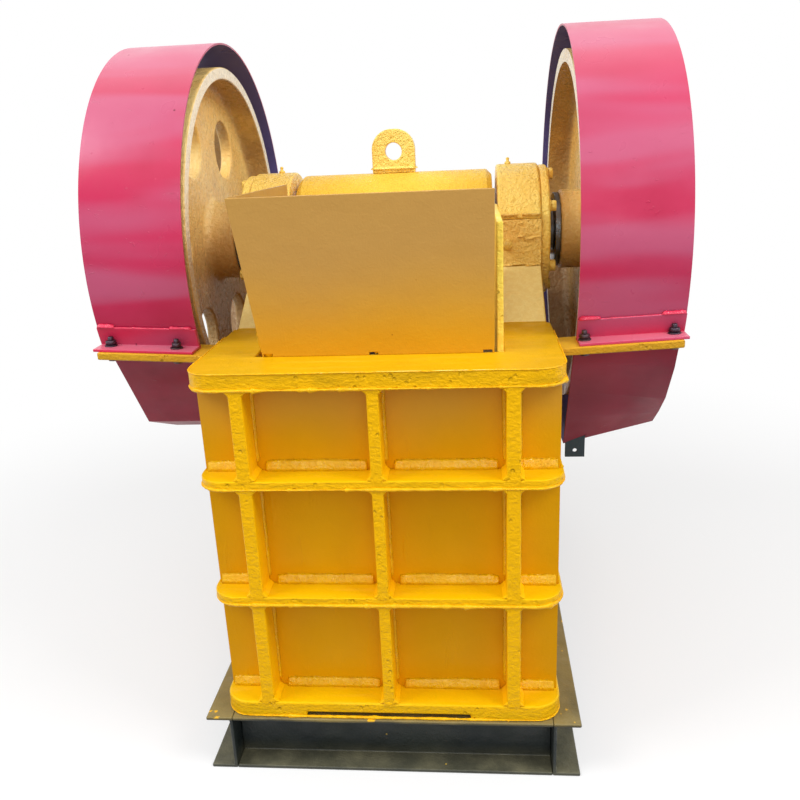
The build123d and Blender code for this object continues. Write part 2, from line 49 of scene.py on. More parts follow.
wall_face = 62.0
rib_middle = 11.5
rib_inner = 248.0
rib_outer = 275.0
wing_edge = 353.0
row_feet = (37.0, 294.0, 552.0)
row_tops = (275.0, 533.0, 737.0)
flange_top = 772.0
plate_reach = 361.0
plate_corner = 55.0
side_weld_runs = ((92.0, 541.0), (571.0, 811.0), (841.0, 1156.0))
post_fronts = (545.0, 815.0)
post_thick = 22.0
hopper_face = 125.0
hopper_side = -231.0
block_faces = ((527.0, -1), (855.0, 1))
cap_top = 1100.0
cover_face = 374.0
cover_bolt_circle = 139.0
lug_foot = 1100.4
axis_back = 691.0
axis_height = 937.0

# The wheels: the web's two faces across the machine in millimetres, and radii in metres

web_inner = 478.0
web_outer = 510.0
rim_bore = 0.391
hub_radius = 0.097

# Sections of weld in metres, as it stands out from the first and the second of its two faces

fillet = (0.006, 0.006)
side_fillet = (0.010, 0.010)
row_fillet = (0.009, 0.022)


def spot(x, y, z):
    """A place on the body, in the shared frame and in metres."""
    return Vector((x / 1000, rib_front + y / 1000, body_foot + z / 1000))


axis = spot(0, axis_back, axis_height)


# Colours, written as they look on a screen and turned into linear light

def shade(red, green, blue):
    out = []
    for value in (red, green, blue):
        share = value / 255
        out.append(share / 12.92 if share <= 0.04045 else ((share + 0.055) / 1.055) ** 2.4)
    return (*out, 1.0)


# Node materials whose patterns follow the object's own coordinates

class Finish:
    """A principled material, with short calls for its colour, gloss and relief nodes."""

    def __init__(self, name, colour, roughness=0.5, metallic=0.0, specular=0.5, coat=0.0,
                 coat_roughness=0.1):
        self.material = bpy.data.materials.new(name)
        self.material.use_nodes = True
        self.tree = self.material.node_tree
        self.shader = self.tree.nodes["Principled BSDF"]
        self.shader.inputs["Base Color"].default_value = colour
        self.shader.inputs["Roughness"].default_value = roughness
        self.shader.inputs["Metallic"].default_value = metallic
        self.shader.inputs["Specular IOR Level"].default_value = specular
        self.shader.inputs["Coat Weight"].default_value = coat
        self.shader.inputs["Coat Roughness"].default_value = coat_roughness
        coordinates = self.tree.nodes.new("ShaderNodeTexCoord")
        self.place = coordinates.outputs["Object"]
        self.facing = coordinates.outputs["Normal"]
        self.relief = None

    def put(self, socket, value):
        if isinstance(value, bpy.types.NodeSocket):
            self.tree.links.new(value, socket)
        else:
            socket.default_value = value

    def math(self, operation, first, second=0.0):
        node = self.tree.nodes.new("ShaderNodeMath")
        node.operation = operation
        self.put(node.inputs[0], first)
        self.put(node.inputs[1], second)
        return node.outputs[0]

    def vector(self, operation, first, second=(0.0, 0.0, 0.0)):
        node = self.tree.nodes.new("ShaderNodeVectorMath")
        node.operation = operation
        self.put(node.inputs[0], first)
        self.put(node.inputs[1], second)
        return node.outputs["Value" if operation in ("DOT_PRODUCT", "LENGTH") else "Vector"]

    def parts(self, vector):
        """The vector's X, Y and Z."""
        node = self.tree.nodes.new("ShaderNodeSeparateXYZ")
        self.put(node.inputs[0], vector)
        return node.outputs["X"], node.outputs["Y"], node.outputs["Z"]

    def ramp(self, value, low, high, start=0.0, end=1.0):
        """A smooth step from start to end, as value goes from low to high."""
        node = self.tree.nodes.new("ShaderNodeMapRange")
        node.interpolation_type = "SMOOTHSTEP"
        self.put(node.inputs["Value"], value)
        node.inputs["From Min"].default_value = low
        node.inputs["From Max"].default_value = high
        node.inputs["To Min"].default_value = start
        node.inputs["To Max"].default_value = end
        return node.outputs["Result"]

    def stretched(self, scale):
        """The object's coordinates with each axis scaled, for patterns with a grain."""
        return self.vector("MULTIPLY", self.place, scale)

    def noise(self, scale, detail=3.0, rough=0.55, bend=0.0, vector=None):
        node = self.tree.nodes.new("ShaderNodeTexNoise")
        self.put(node.inputs["Vector"], vector or self.place)
        node.inputs["Scale"].default_value = scale
        node.inputs["Detail"].default_value = detail
        node.inputs["Roughness"].default_value = rough
        node.inputs["Distortion"].default_value = bend
        return node.outputs["Fac"]

    def cells(self, scale):
        """Distance from the nearest of many scattered points."""
        node = self.tree.nodes.new("ShaderNodeTexVoronoi")
        self.put(node.inputs["Vector"], self.place)
        node.inputs["Scale"].default_value = scale
        return node.outputs["Distance"]

    def blend(self, share, first, second):
        node = self.tree.nodes.new("ShaderNodeMix")
        node.data_type = "RGBA"
        self.put(node.inputs["Factor"], share)
        self.put(node.inputs[6], first)
        self.put(node.inputs[7], second)
        return node.outputs[2]

    def colour(self, value):
        self.put(self.shader.inputs["Base Color"], value)

    def rough(self, value):
        self.put(self.shader.inputs["Roughness"], value)

    def bump(self, height, depth, strength=1.0):
        """Relief from a height pattern, depth metres deep, on top of the relief so far."""
        node = self.tree.nodes.new("ShaderNodeBump")
        self.put(node.inputs["Height"], height)
        self.put(node.inputs["Strength"], strength)
        node.inputs["Distance"].default_value = depth
        if self.relief is not None:
            self.put(node.inputs["Normal"], self.relief)
        self.relief = node.outputs["Normal"]
        self.put(self.shader.inputs["Normal"], self.relief)
        if self.shader.inputs["Coat Weight"].default_value > 0:
            self.put(self.shader.inputs["Coat Normal"], self.relief)


def tint(finish, colour):
    """The colour of the material's own reflections."""
    finish.shader.inputs["Specular Tint"].default_value = colour


yellow_shine = (1.0, 0.74, 0.22, 1.0)


def flecks(finish, tone, scale, size, few_scale, few_low, colour, share=1.0):
    """Small round spots over tone, kept to the places where a broad pattern is above few_low."""
    spots = finish.ramp(finish.cells(scale), size, size * 1.5, share, 0.0)
    few = finish.ramp(finish.noise(few_scale, 2.0), few_low, few_low + 0.06)
    return finish.blend(finish.math("MULTIPLY", spots, few), tone, colour)


def painted_slope_sheen(finish, tone, gloss, y, z):
    """Painted sheen on the faces that lean back: a pale colour for their reflection of the bright
    sky, with glossier paint and a fine grain.
    """
    leaning = finish.ramp(finish.math("ABSOLUTE", y), 0.3, 0.45)
    leaning = finish.math("MULTIPLY", leaning, finish.ramp(z, 0.5, 0.7))
    highlight_speck = finish.ramp(finish.noise(90.0, 4.0, 0.7), 0.42, 0.62, 0.85, 1.0)
    # The pale colour is a painted reflection of the sky, in small patches
    tone = finish.blend(finish.math("MULTIPLY", leaning, highlight_speck), tone, shade(255, 236, 160))
    gloss = finish.math("SUBTRACT", gloss, finish.math("MULTIPLY", leaning, 0.15))
    finish.bump(finish.noise(95.0, 3.0, 0.7), 0.003, finish.math("MULTIPLY", leaning, 0.4))
    return tone, gloss


def yellow_enamel(name, cut, main=(253, 200, 4), second=(249, 188, 3), edge=(249, 188, 4),
                  slope=False):
    """Thick paint on plates with flame-cut edges: cut says which faces are cut ones."""
    finish = Finish(name, shade(*main), roughness=0.4, specular=0.4)
    tint(finish, yellow_shine)
    broad = finish.noise(3.1, 4.0)
    fine = finish.noise(34.0, 5.0)
    brush = finish.noise(11.0, 4.0, 0.6, 0.3, finish.stretched((0.5, 5.0, 2.0)))
    tone = finish.blend(finish.ramp(broad, 0.35, 0.7), shade(*main), shade(*second))
    tone = finish.blend(finish.ramp(fine, 0.56, 0.74, 0.0, 0.3), tone, shade(242, 184, 6))
    tone = finish.blend(finish.ramp(brush, 0.5, 0.75, 0.0, 0.3), tone, shade(255, 202, 60))
    tone = flecks(finish, tone, scale=23.0, size=0.04, few_scale=9.0, few_low=0.6,
                  colour=shade(150, 104, 20), share=0.7)
    gloss = finish.ramp(finish.noise(15.0, 3.0), 0.3, 0.7, 0.3, 0.5)
    _, y, z = finish.parts(finish.facing)
    if cut == "rings":
        torn = finish.ramp(finish.math("ABSOLUTE", z), 0.2, 0.5, 1.0, 0.0)
        grain = finish.stretched((0.6, 0.6, 1.3))
    else:
        torn = finish.ramp(y, -0.8, -0.5, 1.0, 0.0)
        grain = finish.stretched((0.7, 1.0, 1.0))
    rubbed = finish.blend(finish.ramp(brush, 0.4, 0.7), shade(*edge), shade(*second))
    tone = finish.blend(torn, tone, rubbed)
    # Painted sheen: pale colour on the faces that lean back
    if slope:
        tone, gloss = painted_slope_sheen(finish, tone, gloss, y, z)
    finish.colour(tone)
    finish.rough(gloss)
    finish.bump(finish.noise(210.0, 2.0), 0.0006)
    finish.bump(finish.noise(26.0, 3.0), 0.003, 0.6)
    drag = finish.noise(115.0, 3.0, 0.6, 0.3, grain)
    finish.bump(drag, 0.005, finish.math("MULTIPLY", torn, 0.8))
    pits = finish.ramp(finish.cells(70.0), 0.12, 0.35)
    deep = finish.ramp(finish.noise(17.0, 2.0), 0.52, 0.6)
    finish.bump(pits, 0.003, finish.math("MULTIPLY", torn, deep))
    return finish.material


def plate_enamel(name, main, second, dust_and_painted_shade=None, fade=None, runny=0.5):
    """Flat painted plate. From the height fade[0] to fade[1], the third colour takes over: painted
    shade, darker and browner towards the top, with some dust.
    """
    finish = Finish(name, shade(*main), roughness=0.4, specular=0.35)
    tint(finish, yellow_shine)
    broad = finish.noise(2.3, 4.0)
    streak = finish.noise(9.0, 4.0, 0.6, 0.4, finish.stretched((4.0, 1.0, 0.6)))
    tone = finish.blend(finish.ramp(broad, 0.35, 0.68), shade(*main), shade(*second))
    tone = finish.blend(finish.ramp(streak, 0.5, 0.8, 0.0, 0.25), tone, shade(*second))
    # Darker and browner towards the top: painted shade, with some dust
    if dust_and_painted_shade:
        height = finish.math("ADD", finish.parts(finish.place)[2],
                             finish.math("MULTIPLY", finish.noise(2.0, 3.0), 0.16))
        tone = finish.blend(finish.ramp(height, fade[0] + 0.08, fade[1] + 0.08, 0.0, 0.9),
                            tone, shade(*dust_and_painted_shade))
    tone = flecks(finish, tone, scale=17.0, size=0.03, few_scale=7.0, few_low=0.5,
                  colour=shade(150, 96, 24), share=0.8)
    finish.colour(tone)
    finish.rough(finish.ramp(finish.noise(12.0, 3.0), 0.3, 0.7, 0.3, 0.5))
    finish.bump(finish.noise(190.0, 2.0), 0.0005)
    finish.bump(finish.noise(14.0, 3.0), 0.004, 0.5)
    runs = finish.noise(30.0, 3.0, 0.5, 0.3, finish.stretched((1.0, 1.0, 0.2)))
    finish.bump(finish.ramp(runs, 0.6, 0.75), 0.0015, runny)
    return finish.material


def wheel_painted_light_and_shade(finish, tone, faces):
    """Painted light on the rim side faces, painted shade inside the rims and on the lower halves.
    """
    outward = finish.vector("SUBTRACT", finish.place, tuple(axis))
    outward = finish.vector("MULTIPLY", outward, (0.0, 1.0, 1.0))
    radius = finish.vector("LENGTH", outward)
    sideways = finish.math("ABSOLUTE", finish.parts(finish.facing)[0])
    # Pale rim side faces: painted light
    lit_rim_faces = finish.math("MULTIPLY", finish.ramp(sideways, 0.8, 0.95),
                           finish.ramp(radius, rim_bore - 0.002, rim_bore + 0.001))
    tone = finish.blend(finish.math("MULTIPLY", lit_rim_faces, 0.85), tone, shade(*faces))
    # Inside the rims: painted shade, in patches
    inward = finish.vector("DOT_PRODUCT", outward, finish.facing)
    rim_shade_patches = finish.ramp(finish.noise(6.0, 4.0, 0.6), 0.3, 0.6, 0.35, 0.75)
    inner = finish.math("MULTIPLY", finish.ramp(inward, -0.34, -0.12, 1.0, 0.0), rim_shade_patches)
    tone = finish.blend(inner, tone, shade(142, 104, 78))
    # Darker on the wheels' lower halves: painted shade
    low = finish.ramp(finish.parts(finish.place)[2], 0.88, 1.3, 0.65, 0.0)
    return finish.blend(low, tone, shade(128, 92, 70))


def cast_enamel(name, main, second, depth, dust_and_painted_shade=0.0, faces=None, shine=0.35):
    """Paint over a rough casting. faces is the pale colour of a wheel's rim side faces, painted
    light.
    """
    finish = Finish(name, shade(*main), roughness=0.4, specular=shine)
    tint(finish, (1.0, 0.88, 0.62, 1.0))
    broad = finish.noise(5.0, 4.0)
    tone = finish.blend(finish.ramp(broad, 0.38, 0.66), shade(*main), shade(*second))
    grit = finish.noise(105.0, 3.0, 0.6)
    tone = finish.blend(finish.ramp(grit, 0.5, 0.75, 0.0, 0.4), tone, shade(*second))
    if faces:
        tone = wheel_painted_light_and_shade(finish, tone, faces)
    if dust_and_painted_shade:
        dust = finish.ramp(finish.noise(3.5, 5.0, 0.6), 0.45, 0.7, 0.0, dust_and_painted_shade)
        tone = finish.blend(dust, tone, shade(176, 140, 104))
    tone = flecks(finish, tone, scale=29.0, size=0.02, few_scale=9.0, few_low=0.66,
                  colour=shade(140, 100, 56), share=0.5)
    finish.colour(tone)
    finish.rough(finish.ramp(finish.noise(40.0, 3.0), 0.3, 0.7, 0.2, 0.4))
    finish.bump(finish.noise(22.0, 3.0), 0.004, 0.6)
    finish.bump(grit, depth, 0.9)
    finish.bump(finish.noise(48.0, 4.0, 0.7, 0.5), depth, 0.5)
    return finish.material


def lower_guard_painted_shade(finish, tone, dull):
    """Painted shade on the lower guards, darkest at the right one's inner lower corner."""
    # Dark patches and a darker corner: painted shade
    shade_patches = finish.ramp(finish.noise(5.0, 5.0, 0.6), 0.3, 0.75, dull * 0.3, dull)
    across, _, up = finish.parts(finish.place)
    corner = finish.math("MULTIPLY", finish.ramp(across, 0.42, 0.62, dull, 0.0),
                         finish.ramp(up, 0.72, 0.9, 1.0, 0.0))
    corner = finish.math("MULTIPLY", corner, finish.math("GREATER_THAN", across, 0.0))
    return finish.blend(finish.math("MAXIMUM", shade_patches, corner), tone, shade(88, 34, 46))


def dark_lining(finish, tone):
    """Dark primer on the side of a guard that looks at the wheel."""
    outward = finish.vector("SUBTRACT", finish.place, tuple(axis))
    outward = finish.vector("MULTIPLY", outward, (0.0, 1.0, 1.0))
    facing_in = finish.vector("DOT_PRODUCT", outward, finish.facing)
    inside = finish.ramp(facing_in, -0.06, 0.0, 1.0, 0.0)
    return finish.blend(inside, tone, shade(104, 98, 166))


def sheet_enamel(name, main=(194, 32, 80), second=(180, 24, 68), lined=True, dull=0.0):
    """Red sheet, duller and with more painted shade towards dull = 1, with dark primer inside
    where it is lined.
    """
    finish = Finish(name, shade(*main), roughness=0.3, specular=0.4)
    tint(finish, (1.0, 0.86, 0.9, 1.0))
    broad = finish.noise(4.0, 4.0)
    tone = finish.blend(finish.ramp(broad, 0.35, 0.7), shade(*main), shade(*second))
    # Broad pale bands: painted reflection of the sky, with faded paint
    band_pattern = finish.noise(3.4, 2.0, 0.4, 0.3, finish.stretched((0.4, 1.4, 3.0)))
    reflection_and_fade_bands = finish.ramp(band_pattern, 0.4, 0.64, 0.0, 0.75 - dull)
    tone = finish.blend(reflection_and_fade_bands, tone, shade(188, 90, 124))
    # Paler on the faces that look up: painted highlight from the sky, with some dust
    top = finish.ramp(finish.parts(finish.facing)[2], 0.55, 1.0, 0.0, 0.5)
    tone = finish.blend(top, tone, shade(216, 140, 158))
    scuff = finish.ramp(finish.noise(26.0, 5.0, 0.7, 0.3), 0.68, 0.8, 0.0, 0.3 - dull * 0.3)
    tone = finish.blend(scuff, tone, shade(232, 104, 132))
    tone = flecks(finish, tone, scale=15.0, size=0.03, few_scale=7.0, few_low=0.52,
                  colour=shade(110, 20, 46))
    if dull:
        tone = lower_guard_painted_shade(finish, tone, dull)
    if lined:
        tone = dark_lining(finish, tone)
    finish.colour(tone)
    matt = dull * 0.2
    finish.rough(finish.ramp(finish.noise(8.0, 3.0), 0.3, 0.7, 0.26 + matt, 0.42 + matt))
    waves = finish.noise(2.6, 1.0, 0.4, 0.0, finish.stretched((0.8, 1.5, 1.5)))
    finish.bump(waves, 0.03, 0.8)
    finish.bump(finish.noise(11.0, 2.0), 0.002, 0.5)
    scratches = finish.noise(38.0, 4.0, 0.6, 1.5, finish.stretched((1.0, 0.4, 1.6)))
    finish.bump(finish.ramp(scratches, 0.66, 0.72), 0.001, 0.5)
    return finish.material


def base_enamel(name):
    """Black paint with dust on its upper faces and yellow spill near the body's foot."""
    finish = Finish(name, shade(36, 42, 40), roughness=0.5, specular=0.4)
    z = finish.parts(finish.place)[2]
    broad = finish.noise(6.0, 5.0, 0.6)
    tone = finish.blend(finish.ramp(broad, 0.35, 0.68), shade(18, 26, 27), shade(34, 40, 36))
    low = finish.ramp(z, 0.0, 0.04, 0.6, 0.0)
    up = finish.ramp(finish.parts(finish.facing)[2], 0.5, 0.9, 0.0, 1.3)
    dust = finish.ramp(finish.noise(9.0, 6.0, 0.7), 0.3, 0.8, 0.12, 0.42)
    dust_and_painted_shade = finish.math("MULTIPLY", dust, finish.math("MAXIMUM", low, up))
    tone = finish.blend(dust_and_painted_shade, tone, shade(150, 144, 112))
    near = finish.ramp(finish.math("ADD", z, finish.math("MULTIPLY", broad, 0.02)),
                       body_foot + 0.002, body_foot + 0.012)
    tone = finish.blend(finish.math("MULTIPLY", near, 0.35), tone, shade(196, 168, 84))
    spill = finish.ramp(finish.noise(19.0, 3.0), 0.66, 0.69)
    spill = finish.math("MULTIPLY", spill, finish.ramp(z, body_foot - 0.004, body_foot))
    tone = finish.blend(spill, tone, shade(240, 184, 14))
    tone = flecks(finish, tone, scale=31.0, size=0.05, few_scale=11.0, few_low=0.56,
                  colour=shade(206, 170, 70))
    finish.colour(tone)
    finish.rough(finish.ramp(finish.noise(20.0, 4.0), 0.3, 0.7, 0.34, 0.6))
    finish.bump(finish.noise(30.0, 4.0), 0.003, 0.6)
    finish.bump(finish.noise(240.0, 3.0), 0.0006)
    return finish.material


def turned_steel(name, colour, rough_low, rough_high, metallic=1.0, depth=0.001):
    """Bare steel with a tool's rings and brown stains."""
    finish = Finish(name, shade(*colour), roughness=rough_low, metallic=metallic, specular=0.5)
    rings = finish.noise(90.0, 3.0, 0.6, 0.0, finish.stretched((6.0, 1.0, 1.0)))
    stain = finish.ramp(finish.noise(11.0, 5.0, 0.65), 0.45, 0.72)
    finish.colour(finish.blend(finish.math("MULTIPLY", stain, 0.6), shade(*colour),
                               shade(96, 74, 52)))
    finish.rough(finish.ramp(stain, 0.0, 1.0, rough_low, rough_high))
    finish.bump(rings, depth, 0.5)
    finish.bump(finish.noise(45.0, 4.0), depth, 0.6)
    return finish.material


def bead_enamel(name, main, second, shine, gloss=0.22, coat=0.3):
    """Paint over lumpy weld. shine is the tint of its small reflections."""
    finish = Finish(name, shade(*main), roughness=gloss, specular=0.5, coat=coat,
                    coat_roughness=0.1)
    tint(finish, shine)
    finish.colour(finish.blend(finish.ramp(finish.noise(60.0, 4.0), 0.4, 0.65),
                               shade(*main), shade(*second)))
    finish.rough(finish.ramp(finish.noise(30.0, 3.0), 0.4, 0.6, gloss, gloss + 0.3))
    finish.bump(finish.noise(80.0, 3.0, 0.6, 0.8), 0.004, 0.9)
    return finish.material


# The wall darkens and the hopper turns tan towards the top: painted shade, on the hopper also
# painted reflection, with some dust
wall_paint = plate_enamel("WallPaint", (226, 163, 2), (217, 154, 2), (214, 157, 58), (0.73, 0.87))
side_paint = plate_enamel("SidePaint", (244, 182, 4), (236, 170, 4))
hopper_paint = plate_enamel("HopperPaint", (217, 161, 34), (210, 153, 30), (190, 146, 82),
                            (0.92, 1.14), 0.2)
ring_paint = yellow_enamel("RingPaint", "rings", (236, 190, 4), (232, 180, 3))
# The top flange's leaning faces get a painted sheen
flange_paint = yellow_enamel("FlangePaint", "rings", (220, 173, 10), (214, 163, 8), slope=True)
rib_paint = yellow_enamel("RibPaint", "fronts")
post_paint = yellow_enamel("PostPaint", "fronts", (255, 220, 96), (255, 210, 80), (255, 226, 96))
support_paint = yellow_enamel("SupportPaint", "fronts", (226, 176, 44), (210, 158, 38),
                              (206, 152, 40))
yellow_bead = bead_enamel("YellowBead", (234, 182, 3), (228, 172, 2), (1.0, 0.95, 0.7, 1.0),
                          gloss=0.2, coat=0.05)
lip_paint = bead_enamel("LipPaint", (250, 190, 8), (240, 176, 4), (1.0, 0.8, 0.35, 1.0),
                        gloss=0.35, coat=0.1)
housing = cast_enamel("HousingCast", (255, 224, 116), (252, 206, 96), 0.007, shine=0.5)
housing_rough = cast_enamel("HousingRough", (255, 220, 120), (252, 202, 102), 0.009, shine=0.45)
barrel = cast_enamel("BarrelCast", (248, 204, 80), (243, 192, 66), 0.004, shine=0.1)
# The pale rim face colour is painted light
wheel = cast_enamel("WheelCast", (255, 220, 140), (253, 204, 114), 0.0045, dust_and_painted_shade=0.3,
                    faces=(255, 248, 230), shine=0.6)
red = sheet_enamel("RedSheet")
red_low = sheet_enamel("RedSheetLow", (172, 16, 52), (150, 14, 46), dull=0.6)
red_angle = sheet_enamel("RedAngle", (220, 44, 84), (206, 30, 72), lined=False)
red_bead = bead_enamel("RedBead", (226, 50, 88), (206, 30, 70), (1.0, 0.8, 0.8, 1.0))
base = base_enamel("BaseEnamel")
dark_steel = turned_steel("TurnedSteel", (112, 116, 120), 0.25, 0.5)
bolt_steel = turned_steel("BoltSteel", (72, 58, 70), 0.3, 0.6, 0.7)
jaw_steel = turned_steel("JawSteel", (98, 94, 90), 0.45, 0.75, 0.8, 0.003)
bracket_black = turned_steel("BracketBlack", (38, 52, 58), 0.4, 0.6, 0.3)


# Finishes for the machine's own solids, with painted edges rounded over

def dress(node, material, rounding=0.0, clamp=True):
    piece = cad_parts[node]
    for place in piece.material_slots:
        place.material = material
    if not rounding:
        return
    weld = piece.modifiers.new("Join", "WELD")
    weld.merge_threshold = 0.00002
    flat = piece.modifiers.new("Flat", "DECIMATE")
    flat.decimate_type = "DISSOLVE"
    flat.angle_limit = math.radians(0.6)
    soft = piece.modifiers.new("Round", "BEVEL")
    soft.width = rounding
    soft.segments = 3
    soft.limit_method = "ANGLE"
    soft.angle_limit = math.radians(28)
    soft.use_clamp_overlap = clamp
    level = piece.modifiers.new("Level", "WEIGHTED_NORMAL")
    level.weight = 100
    level.keep_sharp = False


dress("foot_flange", ring_paint, 0.005)
dress("lower_rib_ring", ring_paint, 0.0025, False)
dress("upper_rib_ring", ring_paint, 0.0025, False)
dress("top_flange", flange_paint, 0.006)
dress("front_uprights", rib_paint, 0.003)
dress("side_walls", side_paint, 0.002)
dress("front_wall", wall_paint)
dress("rear_wall", side_paint)
dress("seat_posts", rib_paint, 0.003)
dress("bearing_blocks", housing_rough, 0.006)
dress("bearing_caps", housing, 0.008)
dress("bearing_covers", housing, 0.006)
dress("eccentric_shaft", dark_steel, 0.002)
dress("spacer_rings", dark_steel, 0.002)
dress("flywheel_rim", wheel, 0.005)
dress("flywheel_disc", wheel, 0.007)
dress("sheave_rim", wheel)
dress("sheave_disc", wheel, 0.007)
dress("pitman", barrel, 0.004)
dress("lifting_lug", housing, 0.003, False)
dress("fixed_jaw_plate", jaw_steel, 0.003)
dress("moving_jaw_plate", jaw_steel, 0.003)
dress("cheek_plates", jaw_steel, 0.003)
dress("hopper_front_plate", hopper_paint, 0.0015, False)
dress("hopper_side_sheet", hopper_paint)
dress("mouth_side_plate", post_paint, 0.003)
dress("left_upper_guard", red)
dress("right_upper_guard", red)
dress("left_lower_guard", red_low, 0.001)
dress("right_lower_guard", red_low, 0.001)
dress("guard_angles", red_angle, 0.0015)
dress("guard_supports", support_paint, 0.003)
dress("guard_bracket", bracket_black, 0.001, False)
dress("base_side_channels", base, 0.003)
dress("base_cross_channels", base, 0.003)
dress("toggle_block", side_paint, 0.003)
dress("toggle_plate", jaw_steel, 0.003)
dress("spring_plate", dark_steel, 0.002)
dress("tension_rod", dark_steel, 0.001)
dress("tension_spring", dark_steel)


# Builders for the added pieces

def piece_of(mesh, name, material, body):
    """An object from the mesh, with the material in its slot, which rides on the body."""
    bmesh.ops.recalc_face_normals(mesh, faces=mesh.faces)
    for face in mesh.faces:
        face.smooth = True
    data = bpy.data.meshes.new(name)
    mesh.to_mesh(data)
    mesh.free()
    data.materials.append(material)
    piece = bpy.data.objects.new(name, data)
    bpy.context.scene.collection.objects.link(piece)
    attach(piece, body)
    return piece


def skin(mesh, rings):
    """A closed tube through rings of as many points each."""
    rows = [[mesh.verts.new(point) for point in ring] for ring in rings]
    count = len(rows[0])
    for near, far in zip(rows, rows[1:]):
        for index in range(count):
            after = (index + 1) % count
            mesh.faces.new((near[index], near[after], far[after], far[index]))
    mesh.faces.new(rows[0])
    mesh.faces.new(rows[-1][::-1])


def weld_bead(mesh, start, end, first, second, legs, wander=0.12, step=0.0035, lead=0.35,
              bulge=0.2):
    """A fillet of weld from start to end, in the corner of two faces.

    The faces leave the corner along first and second, and legs are the weld's widths on them.
    """
    along = end - start
    count = max(8, int(along.length / step))
    phase = chance.uniform(0, math.tau)
    wide, tall = legs
    most = max(legs)
    rings = []
    drift = 1.0
    for index in range(count + 1):
        share = index / count
        reach = min(share, 1 - share) * along.length
        taper = min(1.0, lead + (1 - lead) * math.sqrt(min(1.0, reach / most)))
        drift = min(max(drift + chance.uniform(-0.4, 0.4) * wander, 1 - wander), 1 + wander)
        ripple = 1 + 0.02 * math.sin(index * 1.9 + phase)
        here = start + along * share
        ring = [here - first * wide * 0.15 - second * tall * 0.15]
        for turn in (0, 22, 45, 68, 90):
            angle = math.radians(turn)
            chord = 1 / (math.cos(angle) + math.sin(angle))
            size = chord * (1 + bulge * math.sin(2 * angle)) * drift * taper * ripple
            ring.append(here + first * math.cos(angle) * wide * size
                        + second * math.sin(angle) * tall * size)
        rings.append(ring)
    skin(mesh, rings)


def paint_run(mesh, points, size, wander=0.5, step=0.004):
    """A thin uneven roll of paint along a line of points, as it hangs on a lower edge."""
    rings = []
    drift = 1.0
    blob = 0.0
    for near, far in zip(points, points[1:]):
        along = far - near
        direction = along.normalized()
        across = direction.cross(Vector((0, 0, 1)))
        across = across.normalized() if across.length > 0.01 else Vector((1, 0, 0))
        other = direction.cross(across)
        count = max(2, int(along.length / step))
        for index in range(count):
            drift = min(max(drift + chance.uniform(-0.35, 0.35) * wander, 1 - wander), 1 + wander)
            blob = chance.uniform(0.6, 1.4) if chance.random() < 0.03 else blob * 0.6
            radius = size * (drift + blob)
            here = near + along * index / count
            rings.append([here + (across * math.cos(math.radians(turn))
                                  + other * math.sin(math.radians(turn))) * radius
                          for turn in (0, 60, 120, 180, 240, 300)])
    skin(mesh, rings)


def turned(mesh, centre, direction, profile, segments=32, closed=True):
    """A lathe shape about direction, from (radius, distance) pairs."""
    direction = direction.normalized()
    across = direction.orthogonal().normalized()
    other = direction.cross(across)
    rings = []
    for index in range(segments):
        angle = math.tau * index / segments
        outward = across * math.cos(angle) + other * math.sin(angle)
        rings.append([mesh.verts.new(centre + outward * radius + direction * rise)
                      for radius, rise in profile])
    count = len(profile)
    for index in range(segments):
        near = rings[index]
        far = rings[(index + 1) % segments]
        for row in range(count if closed else count - 1):
            after = (row + 1) % count
            mesh.faces.new((near[row], near[after], far[after], far[row]))


def hex_head(mesh, centre, direction, flats, height, washer, washer_height, turn=0.0, stud=0.0):
    """A bolt head or nut on a washer, with the thread's end standing out where stud is given."""
    direction = direction.normalized()
    across = direction.orthogonal().normalized()
    other = direction.cross(across)
    turned(mesh, centre, direction,
           [(0.0006, 0.0), (washer, 0.0), (washer, washer_height * 0.75),
            (washer * 0.95, washer_height), (0.0006, washer_height)], 28)
    corner = flats / math.sqrt(3)
    rows = []
    for share, rise in ((1.0, washer_height), (1.0, washer_height + height * 0.86),
                        (0.86, washer_height + height), (0.05, washer_height + height)):
        ring = []
        for index in range(6):
            angle = turn + math.tau * index / 6
            outward = across * math.cos(angle) + other * math.sin(angle)
            ring.append(centre + outward * corner * share + direction * rise)
        rows.append(ring)
    skin(mesh, rows)
    if stud:
        radius = flats * 0.3
        top = washer_height + height
        turned(mesh, centre, direction,
               [(0.0006, top * 0.5), (radius, top * 0.5), (radius, top + stud * 0.8),
                (radius * 0.8, top + stud), (0.0006, top + stud)], 20)


along_x = Vector((1, 0, 0))
along_y = Vector((0, 1, 0))
along_z = Vector((0, 0, 1))


# Weld beads in the wall's bays and wings, and along the side walls

def wall_welds():
    mesh = bmesh.new()
    for foot, top in zip(row_feet, row_tops):
        for left, right in ((-rib_inner, -rib_middle), (rib_middle, rib_inner)):
            weld_bead(mesh, spot(left + 18, wall_face, foot), spot(right - 14, wall_face, foot),
                      -along_y, along_z, row_fillet, 0.06, lead=0.85, bulge=0.06)
            weld_bead(mesh, spot(left + 6, wall_face, top), spot(right - 6, wall_face, top),
                      -along_y, -along_z, fillet)
            for edge, way in ((left, 1), (right, -1)):
                weld_bead(mesh, spot(edge, wall_face, foot + 16), spot(edge, wall_face, top - 8),
                          -along_y, along_x * way, fillet, 0.2)
        for side in (-1, 1):
            ends = sorted((side * rib_outer, side * (wing_edge - 3)))
            weld_bead(mesh, spot(ends[0], wall_face, foot), spot(ends[1], wall_face, foot),
                      -along_y, along_z, row_fillet, 0.06, lead=0.9, bulge=0.06)
            inner = side * rib_outer
            weld_bead(mesh, spot(inner, wall_face, foot + 16), spot(inner, wall_face, top - 8),
                      -along_y, along_x * side, fillet, 0.2)
    return piece_of(mesh, "WallWelds", yellow_bead, "frame")


